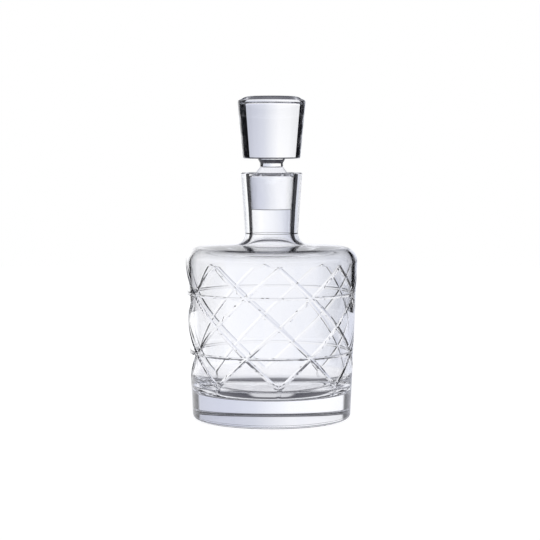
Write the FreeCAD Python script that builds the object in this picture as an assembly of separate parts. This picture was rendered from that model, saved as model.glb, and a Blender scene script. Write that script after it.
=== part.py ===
import FreeCAD, Part
import math
import os

# A cut-glass decanter in two pieces: a hollow body on a thick base, and a solid stopper whose plug is
# ground into the neck. Lengths are in millimetres and angles in degrees. Z is the axis of both pieces,
# and z = 0 is the ring that the body stands on.

# Body, outside
base_radius = 54.5
base_edge_radius = 3.6
wall_flare = 0.042                # radius gained for each millimetre of height
shoulder_height = 117.9           # where the wall would meet the shoulder with a sharp corner
shoulder_edge_radius = 9.5
neck_foot_height = 120.7
neck_foot_radius = 8.0
waist_radius = 18.3
waist_height = 130.0
waist_curve_radius = 60.0
rim_radius = 21.1
rim_height = 169.8
rim_edge_radius = 1.0
recess_radius = 44.0              # shallow recess under the base
recess_depth = 1.2
recess_rim = 3.0                  # width of the slope between the recess and the standing ring

# Body, inside
wall_thickness = 3.2
floor_height = 17.7
floor_corner_radius = 16.0
roof_height = 116.2               # underside of the shoulder
roof_corner_radius = 8.0
throat_radius = 13.4
throat_height = 132.0
throat_curve_radius = 60.0
throat_mouth_radius = 12.0        # round where the throat opens into the hollow
socket_low_radius = 13.9          # tapered seat of the stopper
socket_low_height = 144.0
socket_top_radius = 15.75

# Cut pattern: helical cuts in both directions that cross in rows, and rings through two of the rows
cuts_each_way = 8
crossing_angle = 4.9              # direction of one crossing of the lowest row, from -Y towards +X
lowest_row = 26.8
row_spacing = 20.15
row_gaps = 4
cut_turn = 90.0                   # angle that one cut covers between the lowest row and the highest
cut_width = 3.0
cut_depth = 0.5
ring_rows = (1, 3)
ring_width = 2.0
ring_depth = 0.4
cutter_margin = 0.6               # how far a cutter stands out of the glass

# Stopper
plug_clearance = 0.12             # radial gap between the ground plug and its socket
plug_low_height = 144.5
plug_low_edge = 0.8
plug_top_height = 167.4
plug_top_edge = 0.8
cone_foot_radius = 11.0           # cone between the plug and the waist
cone_foot_height = 169.6
cone_foot_round = 1.5
stem_radius = 7.9
stem_low = 173.6
stem_high = 176.2
stem_round = 1.2
collar_radius = 9.3
collar_height = 178.7
collar_round = 0.4
head_low_radius = 19.7
head_low_height = 179.3
head_low_edge = 1.2
head_top_radius = 23.4
head_top_height = 218.8
head_top_edge = 1.8
crown_flat_radius = 17.5
crown_height = 222.0
crown_curve_radius = 10.0


def wall_radius(height):
    """Outside radius of the body's wall at a height."""
    return base_radius + wall_flare * height


def socket_radius(height):
    """Radius of the neck's tapered seat at a height."""
    taper = (socket_top_radius - socket_low_radius) / (rim_height - socket_low_height)
    return socket_low_radius + taper * (height - socket_low_height)


def rounded_outline(corners):
    """Closed face in the XZ plane through (radius, height, rounding) corners, rounded by arcs."""
    points = [FreeCAD.Vector(radius, 0, height) for radius, height, rounding in corners]
    starts = []
    ends = []
    for index, corner in enumerate(corners):
        here = points[index]
        to_last = (points[index - 1] - here).normalize()
        to_next = (points[(index + 1) % len(points)] - here).normalize()
        half_angle = to_last.getAngle(to_next) / 2
        setback = corner[2] / math.tan(half_angle)
        starts.append(here + to_last * setback)
        ends.append(here + to_next * setback)
    edges = []
    for index, corner in enumerate(corners):
        if corner[2] > 0:
            here = points[index]
            bisector = ((starts[index] - here) + (ends[index] - here)).normalize()
            half_angle = (starts[index] - here).getAngle(bisector)
            middle = here + bisector * (corner[2] / math.sin(half_angle) - corner[2])
            edges.append(Part.Arc(starts[index], middle, ends[index]).toShape())
        edges.append(Part.makeLine(ends[index], starts[(index + 1) % len(corners)]))
    return Part.Face(Part.Wire(edges))


def turned(corners):
    """Solid of revolution about Z."""
    return rounded_outline(corners).revolve(FreeCAD.Vector(0, 0, 0), FreeCAD.Vector(0, 0, 1), 360)


def cut_profile(radius, height, width, depth):
    """V-shaped wire in the XZ plane, its point below the surface at a radius and height."""
    half = width / 2 * (1 + cutter_margin / depth)
    corners = [
        FreeCAD.Vector(radius - depth, 0, height),
        FreeCAD.Vector(radius + cutter_margin, 0, height - half),
        FreeCAD.Vector(radius + cutter_margin, 0, height + half),
    ]
    return Part.makePolygon(corners + corners[:1])


def helical_cutter():
    """V-shaped bar along one right-handed cut, from the lowest row to the highest."""
    rise = row_gaps * row_spacing
    pitch = rise * 360 / cut_turn
    radius = wall_radius(lowest_row)
    path = Part.Wire(Part.makeHelix(pitch, rise, radius, math.degrees(math.atan(wall_flare))).Edges)
    profile = cut_profile(radius, 0, cut_width, cut_depth)
    climb = math.degrees(math.atan(pitch / (2 * math.pi * radius)))
    profile.rotate(FreeCAD.Vector(radius, 0, 0), FreeCAD.Vector(1, 0, 0), climb)
    bar = path.makePipeShell([profile], True, True)
    bar.translate(FreeCAD.Vector(0, 0, lowest_row))
    return bar


def ring_cutter(row):
    """V-shaped ring through one row of crossings."""
    height = lowest_row + row * row_spacing
    profile = cut_profile(wall_radius(height), height, ring_width, ring_depth)
    return Part.Face(profile).revolve(FreeCAD.Vector(0, 0, 0), FreeCAD.Vector(0, 0, 1), 360)


def cut_pattern():
    """All the cutters: helices of both hands that start together on the lowest row, and the rings."""
    right = helical_cutter()
    left = right.mirror(FreeCAD.Vector(0, 0, 0), FreeCAD.Vector(0, 1, 0))
    cutters = [ring_cutter(row) for row in ring_rows]
    for index in range(cuts_each_way):
        angle = crossing_angle - 90 + index * 360 / cuts_each_way
        for hand in (right, left):
            cutter = hand.copy()
            cutter.rotate(FreeCAD.Vector(0, 0, 0), FreeCAD.Vector(0, 0, 1), angle)
            cutters.append(cutter)
    return cutters


def make_glass_body():
    outside = [
        (recess_radius, 0, 0),
        (base_radius, 0, base_edge_radius),
        (wall_radius(shoulder_height), shoulder_height, shoulder_edge_radius),
        (waist_radius, neck_foot_height, neck_foot_radius),
        (waist_radius, waist_height, waist_curve_radius),
        (rim_radius, rim_height, rim_edge_radius),
    ]
    inside = [
        (socket_top_radius, rim_height, rim_edge_radius),
        (socket_low_radius, socket_low_height, 0),
        (throat_radius, throat_height, throat_curve_radius),
        (throat_radius, roof_height, throat_mouth_radius),
        (wall_radius(roof_height) - wall_thickness, roof_height, roof_corner_radius),
        (wall_radius(floor_height) - wall_thickness, floor_height, floor_corner_radius),
        (0, floor_height, 0),
    ]
    underneath = [
        (0, recess_depth, 0),
        (recess_radius - recess_rim, recess_depth, 0),
    ]
    blank = turned(outside + inside + underneath)
    return blank.cut(cut_pattern())


def make_stopper():
    corners = [
        (0, plug_low_height, 0),
        (socket_radius(plug_low_height) - plug_clearance, plug_low_height, plug_low_edge),
        (socket_radius(plug_top_height) - plug_clearance, plug_top_height, plug_top_edge),
        (cone_foot_radius, cone_foot_height, cone_foot_round),
        (stem_radius, stem_low, stem_round),
        (stem_radius, stem_high, stem_round),
        (collar_radius, collar_height, collar_round),
        (collar_radius, head_low_height, 0),
        (head_low_radius, head_low_height, head_low_edge),
        (head_top_radius, head_top_height, head_top_edge),
        (crown_flat_radius, crown_height, crown_curve_radius),
        (0, crown_height, 0),
    ]
    return turned(corners)


def main():
    os.makedirs("parts", exist_ok=True)
    sub_parts = {
        "glass_body": make_glass_body(),
        "stopper": make_stopper(),
    }
    for name, shape in sub_parts.items():
        shape.exportStep("parts/" + name + ".step")


main()
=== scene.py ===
import math

import bpy
import numpy as np
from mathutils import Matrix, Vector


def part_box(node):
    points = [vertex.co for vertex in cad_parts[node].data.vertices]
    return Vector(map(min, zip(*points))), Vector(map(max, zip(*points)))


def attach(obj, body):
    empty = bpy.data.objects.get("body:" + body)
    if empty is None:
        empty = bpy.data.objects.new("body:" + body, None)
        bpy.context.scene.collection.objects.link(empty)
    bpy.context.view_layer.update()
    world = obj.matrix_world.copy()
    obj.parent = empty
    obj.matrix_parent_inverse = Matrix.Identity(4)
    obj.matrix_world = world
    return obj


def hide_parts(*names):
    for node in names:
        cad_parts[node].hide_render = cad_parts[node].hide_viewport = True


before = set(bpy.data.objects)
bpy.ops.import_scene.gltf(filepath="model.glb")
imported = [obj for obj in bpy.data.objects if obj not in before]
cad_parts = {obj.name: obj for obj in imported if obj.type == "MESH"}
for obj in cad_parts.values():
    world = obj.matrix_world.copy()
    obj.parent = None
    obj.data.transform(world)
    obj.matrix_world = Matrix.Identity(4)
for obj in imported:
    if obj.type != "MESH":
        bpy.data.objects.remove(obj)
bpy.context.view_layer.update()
print("frame loaded")

mm = 0.001
bodyLow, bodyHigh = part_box("glass_body")
stopperLow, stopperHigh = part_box("stopper")


# A half section from (radius, height, rounding) corners, travelled with the glass on the left.
# Each corner is an arc that touches both runs: its centre is on the bisector, at
# rounding / sin(half the corner's angle) from the corner. Rows: radius, height, and the outward normal.
def sectionRows(corners, arcStep, longestRun):
    points = np.array([corner[:2] for corner in corners])
    arcs = []
    for index in range(1, len(corners) - 1):
        toLast = points[index - 1] - points[index]
        toNext = points[index + 1] - points[index]
        toLast = toLast / np.linalg.norm(toLast)
        toNext = toNext / np.linalg.norm(toNext)
        bisector = (toLast + toNext) / np.linalg.norm(toLast + toNext)
        rounding = corners[index][2]
        centre = points[index] + bisector * rounding / math.sin(math.acos(toLast @ toNext) / 2)
        bulge = 1 if toLast[0] * toNext[1] < toLast[1] * toNext[0] else -1   # -1 is a hollow corner
        first = np.array([-toLast[1], toLast[0]])
        last = np.array([toNext[1], -toNext[0]])
        sweep = math.acos(first @ last)
        share = np.linspace(0, 1, max(3, math.ceil(sweep / arcStep) + 1))[:, None]
        normals = (np.sin((1 - share) * sweep) * first + np.sin(share * sweep) * last) / math.sin(sweep)
        arcs.append(np.hstack([centre + bulge * rounding * normals, normals]))
    start = np.hstack([points[0], arcs[0][0, 2:]])[None]
    end = np.hstack([points[-1], arcs[-1][-1, 2:]])[None]
    rows = [start]
    for piece in arcs + [end]:
        run = np.linalg.norm(piece[0, :2] - rows[-1][-1, :2])
        share = np.linspace(0, 1, math.ceil(run / longestRun) + 1)[1:-1, None]
        rows += [rows[-1][-1] * (1 - share) + piece[0] * share, piece]
    return np.vstack(rows)


# A closed surface of revolution: x = r sin(a), y = -r cos(a), z = z, for each row (r, z) and for
# columns equal steps of a. A row may be turned by half a step, which makes a lattice of triangles.
# depth sinks single points along the inward normal. Triangles that touch a sunk point are flat facets,
# and all others take the section's own normals, so that the glass bends light smoothly. The point
# attribute cut holds how deep each point is sunk, in millimetres.
def turnedMesh(name, rows, columns, firstAngle=0.0, halfTurned=None, depth=None):
    inner = rows[1:-1]
    count = len(inner)
    half = np.zeros(count, int) if halfTurned is None else halfTurned
    sunk = np.zeros((count, columns)) if depth is None else depth
    angle = firstAngle + (np.arange(columns) + half[:, None] / 2) * 2 * math.pi / columns
    radius = inner[:, :1] - sunk * inner[:, 2:3]
    height = inner[:, 1:2] - sunk * inner[:, 3:4]
    grid = np.stack([radius * np.sin(angle), -radius * np.cos(angle), height], axis=-1)
    slope = np.stack([inner[:, 2:3] * np.sin(angle), -inner[:, 2:3] * np.cos(angle),
                      inner[:, 3:4] + 0 * angle], axis=-1)
    poles = [[0, 0, rows[0, 1]], [0, 0, rows[-1, 1]]]
    points = np.vstack([grid.reshape(-1, 3), poles])
    normals = np.vstack([slope.reshape(-1, 3), [[0, 0, math.copysign(1, end[3])] for end in rows[[0, -1]]]])

    a = np.arange(count - 1)[:, None] * columns + np.arange(columns)
    b = np.roll(a, -1, axis=1)
    c, d = a + columns, b + columns
    crossed = ((half[:-1] == 0) & (half[1:] == 1))[:, None, None]
    one = np.where(crossed, np.stack([a, b, c], -1), np.stack([a, b, d], -1))
    two = np.where(crossed, np.stack([b, d, c], -1), np.stack([a, d, c], -1))
    ring = np.arange(columns)
    after = np.roll(ring, -1)
    top = (count - 1) * columns
    low = np.stack([np.full(columns, count * columns), after, ring], -1)
    high = np.stack([ring + top, after + top, np.full(columns, count * columns + 1)], -1)
    triangles = np.vstack([one.reshape(-1, 3), two.reshape(-1, 3), low, high])

    corners = points[triangles]
    facet = np.cross(corners[:, 1] - corners[:, 0], corners[:, 2] - corners[:, 0])
    facet /= np.linalg.norm(facet, axis=1, keepdims=True)
    isSunk = np.append(sunk.ravel() > 0, [False, False])[triangles].any(axis=1)
    shading = np.where(isSunk[:, None, None], facet[:, None, :], normals[triangles])

    mesh = bpy.data.meshes.new(name)
    mesh.from_pydata(points.tolist(), [], triangles.tolist())
    mesh.polygons.foreach_set("use_smooth", np.ones(len(triangles), bool))
    mesh.normals_split_custom_set(shading.reshape(-1, 3).tolist())
    cut = mesh.attributes.new("cut", "FLOAT", "POINT")
    cut.data.foreach_set("value", np.append(sunk.ravel() / mm, [0, 0]))
    piece = bpy.data.objects.new(name, mesh)
    bpy.context.scene.collection.objects.link(piece)
    return piece


body = {
    "baseRadius": 54.5 * mm,
    "baseEdge": 3.6 * mm,
    "flare": 0.042,             # radius gained per unit of height
    "shoulderHeight": 117.9 * mm,
    "shoulderEdge": 9.5 * mm,
    "neckFoot": 120.7 * mm,
    "neckFootEdge": 8.0 * mm,
    "waist": (18.3 * mm, 130.0 * mm, 60.0 * mm),
    "rim": 21.1 * mm,
    "rimEdge": 1.0 * mm,
    "wall": 3.2 * mm,
    "floor": 17.7 * mm,
    "floorEdge": 16.0 * mm,
    "roof": 116.2 * mm,
    "roofEdge": 8.0 * mm,
    "throat": (13.4 * mm, 132.0 * mm, 60.0 * mm),
    "throatMouth": 12.0 * mm,
    "socketLow": (13.9 * mm, 144.0 * mm, 20.0 * mm),
    "socketTop": 15.75 * mm,
    "recess": 44.0 * mm,
    "recessSlope": 3.0 * mm,
    "recessDepth": 1.2 * mm,
    "recessEdges": (6 * mm, 2 * mm),        # roundings at the inner and outer end of the slope
    "arcStep": math.radians(6),
    "longestRun": 6 * mm,
}
cuts = {
    "around": 8,                # cuts in each direction
    "fineness": 40,             # lattice steps between one crossing and the next
    "firstAngle": 4.9,          # degrees from -Y towards +X, a crossing of the lowest row
    "lowestRow": 26.8 * mm,
    "rowSpacing": 20.15 * mm,
    "rowGaps": 4,
    "depth": 0.5 * mm,
    "profile": (1.0, 0.6, 0.0), # share of the depth at a cut's middle and one and two steps away
    "rings": (1, 3),            # rows with a ring cut through them
    "ringDepth": 0.4 * mm,
}


def wallRadius(height):
    return body["baseRadius"] + body["flare"] * height


# The wall inside the cut rows is a lattice whose lines run along the cuts. In half steps round the body
# and single steps up, a cut of one hand is where around - up is a whole number of crossings, and a cut
# of the other hand where around + up is.
def cutLattice():
    steps = cuts["fineness"]
    up = np.arange(cuts["rowGaps"] * steps + 1)
    height = cuts["lowestRow"] + up * cuts["rowSpacing"] / steps
    lean = math.hypot(1, body["flare"])
    outward = np.full(len(up), 1 / lean)
    rows = np.stack([wallRadius(height), height, outward, -body["flare"] * outward], -1)
    around = 2 * np.arange(cuts["around"] * steps) + (up % 2)[:, None]
    left = (around - up[:, None]) % (2 * steps) / 2
    right = (around + up[:, None]) % (2 * steps) / 2
    beside = np.minimum(np.minimum(left, steps - left), np.minimum(right, steps - right))
    ringRows = np.array(cuts["rings"])[:, None] * steps
    above = np.abs(up - ringRows).min(axis=0)[:, None] + 0 * beside
    away = np.arange(len(cuts["profile"]))
    sunk = cuts["depth"] * np.interp(beside, away, cuts["profile"])
    return rows, up % 2, np.maximum(sunk, cuts["ringDepth"] * np.interp(above, away, cuts["profile"]))


def makeBody():
    rimHeight = bodyHigh[2]
    inside = wallRadius(body["roof"]) - body["wall"], wallRadius(body["floor"]) - body["wall"]
    below = [
        (0, body["recessDepth"], 0),
        (body["recess"] - body["recessSlope"], body["recessDepth"], body["recessEdges"][0]),
        (body["recess"], 0, body["recessEdges"][1]),
        (body["baseRadius"], 0, body["baseEdge"]),
        (wallRadius(cuts["lowestRow"]), cuts["lowestRow"], 0),
    ]
    lattice, halfTurned, depth = cutLattice()
    above = [
        (*lattice[-1, :2], 0),
        (wallRadius(body["shoulderHeight"]), body["shoulderHeight"], body["shoulderEdge"]),
        (body["waist"][0], body["neckFoot"], body["neckFootEdge"]),
        body["waist"],
        (body["rim"], rimHeight, body["rimEdge"]),
        (body["socketTop"], rimHeight, body["rimEdge"]),
        body["socketLow"],
        body["throat"],
        (body["throat"][0], body["roof"], body["throatMouth"]),
        (inside[0], body["roof"], body["roofEdge"]),
        (inside[1], body["floor"], body["floorEdge"]),
        (0, body["floor"], 0),
    ]
    belowRows = sectionRows(below, body["arcStep"], body["longestRun"])[:-1]
    aboveRows = sectionRows(above, body["arcStep"], body["longestRun"])[1:]
    columns = cuts["around"] * cuts["fineness"]
    plainBelow = np.zeros((len(belowRows) - 1, columns))
    plainAbove = np.zeros((len(aboveRows) - 1, columns))
    piece = turnedMesh(
        "cutGlassBody",
        np.vstack([belowRows, lattice, aboveRows]),
        columns,
        math.radians(cuts["firstAngle"]),
        np.concatenate([plainBelow[:, 0].astype(int), halfTurned, plainAbove[:, 0].astype(int)]),
        np.vstack([plainBelow, depth, plainAbove]),
    )
    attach(piece, "decanter")
    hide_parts("glass_body")
    return piece


stopper = {
    "gap": 0.12 * mm,           # between the ground plug and its socket
    "plugTop": 167.4 * mm,
    "plugEdge": 0.8 * mm,
    "coneFoot": (11.0 * mm, 169.6 * mm, 1.5 * mm),
    "stemLow": (7.9 * mm, 173.6 * mm, 1.2 * mm),
    "stemHigh": (7.9 * mm, 176.2 * mm, 1.2 * mm),
    "collar": (9.3 * mm, 178.7 * mm, 0.4 * mm),
    "collarCorner": 0.2 * mm,               # rounding where the collar meets the head
    "headLow": (19.7 * mm, 179.3 * mm, 1.2 * mm),
    "headTop": (23.4 * mm, 218.8 * mm, 1.8 * mm),
    "crown": (17.5 * mm, 10.0 * mm),        # radius of the flat top and the rounding at its edge
    "arcStep": math.radians(6),
    "longestRun": 4 * mm,
    "columns": 160,
}


def socketRadius(height):
    share = (height - body["socketLow"][1]) / (bodyHigh[2] - body["socketLow"][1])
    return body["socketLow"][0] * (1 - share) + body["socketTop"] * share


def makeStopper():
    plugLow, crownTop = stopperLow[2], stopperHigh[2]
    corners = [
        (0, plugLow, 0),
        (socketRadius(plugLow) - stopper["gap"], plugLow, stopper["plugEdge"]),
        (socketRadius(stopper["plugTop"]) - stopper["gap"], stopper["plugTop"], stopper["plugEdge"]),
        stopper["coneFoot"],
        stopper["stemLow"],
        stopper["stemHigh"],
        stopper["collar"],
        (stopper["collar"][0], stopper["headLow"][1], stopper["collarCorner"]),
        stopper["headLow"],
        stopper["headTop"],
        (stopper["crown"][0], crownTop, stopper["crown"][1]),
        (0, crownTop, 0),
    ]
    rows = sectionRows(corners, stopper["arcStep"], stopper["longestRun"])
    piece = turnedMesh("glassStopper", rows, stopper["columns"])
    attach(piece, "stopper")
    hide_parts("stopper")
    return piece


glass = {
    "bend": 1.52,               # index of refraction
    "clear": (0.99, 0.992, 0.998),
    "streak": (0.965, 0.97, 0.99),
    "streakScale": 2.3,         # streaks to one ripple
    "streakRange": (0.45, 0.8), # noise values between which a streak grows to its full tint
    "rippleWidth": 22 * mm,
    "rippleHeight": 0.012 * mm,
    "rippleStretch": (1, 1, 0.45),
    "cutRoughness": 0.05,       # roughness gained per millimetre of cut depth
    "depthTint": (0.88, 0.89, 0.93),        # the tint that thick glass takes on
    "depthDensity": 9.0,
}


# Soft unevenness of thick glass: a slow ripple, stretched upward, and streaks of a fuller tint.
def glassSurfaceGroup():
    group = bpy.data.node_groups.new("glassSurface", "ShaderNodeTree")
    socket = group.interface.new_socket
    socket("Place", in_out="INPUT", socket_type="NodeSocketVector")
    socket("Ripple Width", in_out="INPUT", socket_type="NodeSocketFloat")
    socket("Clear", in_out="INPUT", socket_type="NodeSocketColor")
    socket("Streak", in_out="INPUT", socket_type="NodeSocketColor")
    socket("Cut", in_out="INPUT", socket_type="NodeSocketFloat")
    socket("Cut Roughness", in_out="INPUT", socket_type="NodeSocketFloat")
    socket("Tint", in_out="OUTPUT", socket_type="NodeSocketColor")
    socket("Roughness", in_out="OUTPUT", socket_type="NodeSocketFloat")
    socket("Height", in_out="OUTPUT", socket_type="NodeSocketFloat")
    nodes, links = group.nodes, group.links
    given = nodes.new("NodeGroupInput")
    result = nodes.new("NodeGroupOutput")
    size = nodes.new("ShaderNodeVectorMath")
    size.operation = "DIVIDE"
    links.new(given.outputs["Place"], size.inputs[0])
    links.new(given.outputs["Ripple Width"], size.inputs[1])
    stretch = nodes.new("ShaderNodeVectorMath")
    stretch.operation = "MULTIPLY"
    stretch.inputs[1].default_value = glass["rippleStretch"]
    links.new(size.outputs[0], stretch.inputs[0])
    ripple = nodes.new("ShaderNodeTexNoise")
    ripple.inputs["Scale"].default_value = 1
    ripple.inputs["Detail"].default_value = 0
    links.new(stretch.outputs[0], ripple.inputs["Vector"])
    links.new(ripple.outputs[0], result.inputs["Height"])
    streaks = nodes.new("ShaderNodeTexNoise")
    streaks.inputs["Scale"].default_value = glass["streakScale"]
    streaks.inputs["Detail"].default_value = 2
    links.new(stretch.outputs[0], streaks.inputs["Vector"])
    strong = nodes.new("ShaderNodeMapRange")
    strong.interpolation_type = "SMOOTHSTEP"
    strong.inputs["From Min"].default_value = glass["streakRange"][0]
    strong.inputs["From Max"].default_value = glass["streakRange"][1]
    links.new(streaks.outputs[0], strong.inputs["Value"])
    tint = nodes.new("ShaderNodeMix")
    tint.data_type = "RGBA"
    links.new(strong.outputs[0], tint.inputs["Factor"])
    links.new(given.outputs["Clear"], tint.inputs["A"])
    links.new(given.outputs["Streak"], tint.inputs["B"])
    links.new(tint.outputs["Result"], result.inputs["Tint"])
    satin = nodes.new("ShaderNodeMath")
    satin.operation = "MULTIPLY"
    links.new(given.outputs["Cut"], satin.inputs[0])
    links.new(given.outputs["Cut Roughness"], satin.inputs[1])
    links.new(satin.outputs[0], result.inputs["Roughness"])
    return group


def clearGlass(surfaceGroup):
    material = bpy.data.materials.new("clearGlass")
    material.use_nodes = True
    nodes, links = material.node_tree.nodes, material.node_tree.links
    shader = nodes["Principled BSDF"]
    shader.inputs["IOR"].default_value = glass["bend"]
    shader.inputs["Transmission Weight"].default_value = 1.0
    place = nodes.new("ShaderNodeTexCoord")
    cut = nodes.new("ShaderNodeAttribute")
    cut.attribute_name = "cut"
    surface = nodes.new("ShaderNodeGroup")
    surface.node_tree = surfaceGroup
    surface.inputs["Ripple Width"].default_value = glass["rippleWidth"]
    surface.inputs["Clear"].default_value = (*glass["clear"], 1)
    surface.inputs["Streak"].default_value = (*glass["streak"], 1)
    surface.inputs["Cut Roughness"].default_value = glass["cutRoughness"]
    bump = nodes.new("ShaderNodeBump")
    bump.inputs["Distance"].default_value = glass["rippleHeight"]
    links.new(place.outputs["Object"], surface.inputs["Place"])
    links.new(cut.outputs["Fac"], surface.inputs["Cut"])
    links.new(surface.outputs["Tint"], shader.inputs["Base Color"])
    links.new(surface.outputs["Roughness"], shader.inputs["Roughness"])
    links.new(surface.outputs["Height"], bump.inputs["Height"])
    links.new(bump.outputs["Normal"], shader.inputs["Normal"])
    inside = nodes.new("ShaderNodeVolumeAbsorption")
    inside.inputs["Color"].default_value = (*glass["depthTint"], 1)
    inside.inputs["Density"].default_value = glass["depthDensity"]
    links.new(inside.outputs[0], nodes["Material Output"].inputs["Volume"])
    return material


rearLight = (0.55, 0.55, 0.57)
darkSide = (0.02, 0.02, 0.02)
darkAbove = (0.05, 0.05, 0.06)
topLight = (0.30, 0.30, 0.32)
lowLight = (0.70, 0.70, 0.73)
underBand = (1.02, 1.02, 1.05)
studio = {
    "lens": 118.0,
    "sensorWidth": 36,
    "cameraPlace": (-1.07 * mm, -1218 * mm, 189.2 * mm),
    "cameraPitch": 0.071,       # radians below level
    "floorDrop": 0.2 * mm,
    "floorSize": 3.0,
    "floorColour": (0.8, 0.8, 0.8),
    "floorRoughness": 0.8,
    "floorGlow": 0.9,
    # the lit band round the horizon: azimuth in degrees from +Y towards +X, and the light from there
    "band": [
        (-180, rearLight),
        (-110, rearLight),
        (-104, darkSide),
        (-57, darkSide),
        (-52, (1.18, 1.18, 1.18)),
        (-9, (1.16, 1.16, 1.17)),
        (0, (1.00, 1.01, 1.05)),
        (9, (0.82, 0.84, 0.92)),
        (20, (0.74, 0.76, 0.86)),
        (54, (0.70, 0.72, 0.81)),
        (58, darkSide),
        (104, darkSide),
        (110, rearLight),
        (180, rearLight),
    ],
    "upperShade": 0.86,         # the band is a little darker towards its top
    "upperShadeFade": (4, 8),   # elevations between which that shade comes in
    # above and below the band: elevation in degrees, the light from there, and how far it covers the band
    "outside": [
        (-90, lowLight, 1),
        (-74, lowLight, 1),
        (-70, (0.06, 0.06, 0.08), 1),
        (-37, (0.15, 0.15, 0.17), 1),
        (-33, (0.75, 0.76, 0.80), 1),
        (-27, (0.98, 0.98, 1.01), 1),
        (-13, underBand, 1),
        (-7, underBand, 0),
        (10, darkAbove, 0),
        (16, darkAbove, 1),
        (45, darkAbove, 1),
        (60, topLight, 1),
        (90, topLight, 1),
    ],
}


# A colour ramp over an angle, from (degrees, colour) stops or (degrees, colour, alpha) stops.
def angleRamp(tree, angle, stops):
    share = tree.nodes.new("ShaderNodeMapRange")
    share.inputs["From Min"].default_value = stops[0][0]
    share.inputs["From Max"].default_value = stops[-1][0]
    tree.links.new(angle, share.inputs["Value"])
    ramp = tree.nodes.new("ShaderNodeValToRGB")
    tree.links.new(share.outputs[0], ramp.inputs[0])
    places = ramp.color_ramp.elements
    while len(places) < len(stops):
        places.new(0.5)
    for place, stop in zip(places, stops):
        place.position = (stop[0] - stops[0][0]) / (stops[-1][0] - stops[0][0])
        place.color = (*stop[1], *(stop[2:] or (1,)))
    return ramp


# In these helpers a value is a number or colour, or the socket that gives it.
def calculate(tree, operation, *values):
    node = tree.nodes.new("ShaderNodeMath")
    node.operation = operation
    for place, value in enumerate(values):
        if isinstance(value, bpy.types.NodeSocket):
            tree.links.new(value, node.inputs[place])
        else:
            node.inputs[place].default_value = value
    return node.outputs[0]


def blend(tree, share, first, second):
    node = tree.nodes.new("ShaderNodeMix")
    node.data_type = "RGBA"
    for name, value in (("Factor", share), ("A", first), ("B", second)):
        if isinstance(value, bpy.types.NodeSocket):
            tree.links.new(value, node.inputs[name])
        else:
            node.inputs[name].default_value = value
    return node.outputs["Result"]


def fade(tree, value, low, high):
    node = tree.nodes.new("ShaderNodeMapRange")
    node.inputs["From Min"].default_value = low
    node.inputs["From Max"].default_value = high
    tree.links.new(value, node.inputs["Value"])
    return node.outputs[0]


# The camera sees plain white behind the decanter, and the glass sees the lit band and its dark surround.
def makeWorld():
    world = bpy.data.worlds.new("studioLight")
    world.use_nodes = True
    bpy.context.scene.world = world
    tree = world.node_tree
    place = tree.nodes.new("ShaderNodeTexCoord")
    split = tree.nodes.new("ShaderNodeSeparateXYZ")
    tree.links.new(place.outputs["Generated"], split.inputs[0])
    azimuth = calculate(tree, "DEGREES", calculate(tree, "ARCTAN2", split.outputs["X"], split.outputs["Y"]))
    elevation = calculate(tree, "DEGREES", calculate(tree, "ARCSINE", split.outputs["Z"]))
    band = angleRamp(tree, azimuth, studio["band"])
    upper = fade(tree, elevation, *studio["upperShadeFade"])
    shade = blend(tree, upper, (1, 1, 1, 1), (*[studio["upperShade"]] * 3, 1))
    shaded = tree.nodes.new("ShaderNodeVectorMath")
    shaded.operation = "MULTIPLY"
    tree.links.new(band.outputs["Color"], shaded.inputs[0])
    tree.links.new(shade, shaded.inputs[1])
    outside = angleRamp(tree, elevation, studio["outside"])
    light = blend(tree, outside.outputs["Alpha"], shaded.outputs[0], outside.outputs["Color"])
    seen = tree.nodes.new("ShaderNodeLightPath")
    shown = blend(tree, seen.outputs["Is Camera Ray"], light, (1, 1, 1, 1))
    tree.links.new(shown, tree.nodes["Background"].inputs["Color"])


# Only the camera sees the floor. For all other rays it is clear.
def makeFloor():
    half = studio["floorSize"] / 2
    low = bodyLow[2] - studio["floorDrop"]
    mesh = bpy.data.meshes.new("floor")
    corners = [(-half, -half, low), (half, -half, low), (half, half, low), (-half, half, low)]
    mesh.from_pydata(corners, [], [(0, 1, 2, 3)])
    floor = bpy.data.objects.new("floor", mesh)
    bpy.context.scene.collection.objects.link(floor)
    material = bpy.data.materials.new("paleFloor")
    material.use_nodes = True
    nodes, links = material.node_tree.nodes, material.node_tree.links
    shader = nodes["Principled BSDF"]
    shader.inputs["Base Color"].default_value = (*studio["floorColour"], 1)
    shader.inputs["Roughness"].default_value = studio["floorRoughness"]
    shader.inputs["Emission Color"].default_value = (1, 1, 1, 1)
    shader.inputs["Emission Strength"].default_value = studio["floorGlow"]
    clear = nodes.new("ShaderNodeBsdfTransparent")
    seen = nodes.new("ShaderNodeLightPath")
    mix = nodes.new("ShaderNodeMixShader")
    links.new(seen.outputs["Is Camera Ray"], mix.inputs[0])
    links.new(clear.outputs[0], mix.inputs[1])
    links.new(shader.outputs[0], mix.inputs[2])
    links.new(mix.outputs[0], nodes["Material Output"].inputs["Surface"])
    mesh.materials.append(material)


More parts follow.
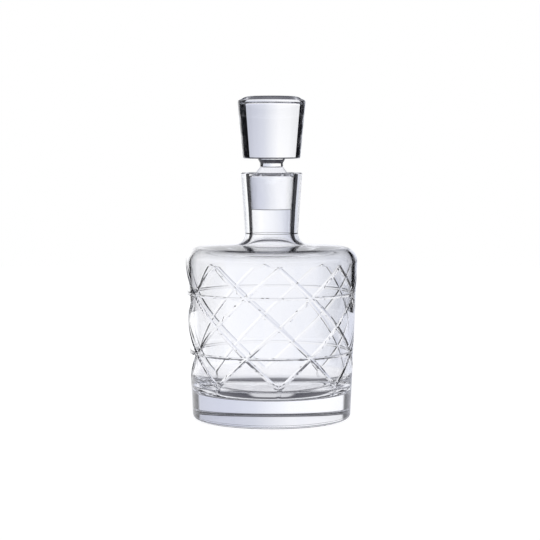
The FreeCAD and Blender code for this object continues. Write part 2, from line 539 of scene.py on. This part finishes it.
cards = {
    "azimuths": {"leftCard": (-100, -42), "rightCard": (35, 100)},
    "distance": 250 * mm,
    "heights": (48 * mm, 330 * mm),
    "colour": (0.01, 0.01, 0.012),
    "roughness": 0.9,
    "gloss": 0.1,
    "columns": 49,
}


# A curved black card stands at each side, behind the decanter, and draws the dark edges of the glass.
# It is an upright strip of a cylinder: x = d sin(a), y = d cos(a). Only the glass sees it.
def makeCards():
    material = bpy.data.materials.new("blackCard")
    material.use_nodes = True
    shader = material.node_tree.nodes["Principled BSDF"]
    shader.inputs["Base Color"].default_value = (*cards["colour"], 1)
    shader.inputs["Roughness"].default_value = cards["roughness"]
    shader.inputs["Specular IOR Level"].default_value = cards["gloss"]
    count = cards["columns"]
    first = np.arange(count - 1)
    faces = np.stack([first, first + 1, first + 1 + count, first + count], -1)
    for name, azimuths in cards["azimuths"].items():
        turn = np.radians(np.linspace(*azimuths, count))
        x, y = cards["distance"] * np.sin(turn), cards["distance"] * np.cos(turn)
        rims = [np.stack([x, y, np.full(count, height)], -1) for height in cards["heights"]]
        mesh = bpy.data.meshes.new(name)
        mesh.from_pydata(np.vstack(rims).tolist(), [], faces.tolist())
        mesh.materials.append(material)
        card = bpy.data.objects.new(name, mesh)
        card.visible_camera = False
        card.visible_diffuse = False
        card.visible_shadow = False
        bpy.context.scene.collection.objects.link(card)


def makeCamera():
    data = bpy.data.cameras.new("camera")
    data.lens = studio["lens"]
    data.sensor_width = studio["sensorWidth"]
    camera = bpy.data.objects.new("camera", data)
    camera.location = studio["cameraPlace"]
    camera.rotation_euler = (math.pi / 2 - studio["cameraPitch"], 0, 0)
    bpy.context.scene.collection.objects.link(camera)
    bpy.context.scene.camera = camera


glassBody = makeBody()
glassStopper = makeStopper()
glassMaterial = clearGlass(glassSurfaceGroup())
for piece in (glassBody, glassStopper):
    piece.data.materials.append(glassMaterial)
print("glass made", len(glassBody.data.polygons), len(glassStopper.data.polygons))

makeWorld()
makeFloor()
makeCards()
makeCamera()
scene = bpy.context.scene
scene.view_settings.view_transform = "Standard"
scene.cycles.max_bounces = 32
scene.cycles.transmission_bounces = 32
scene.cycles.glossy_bounces = 16
print("studio made")
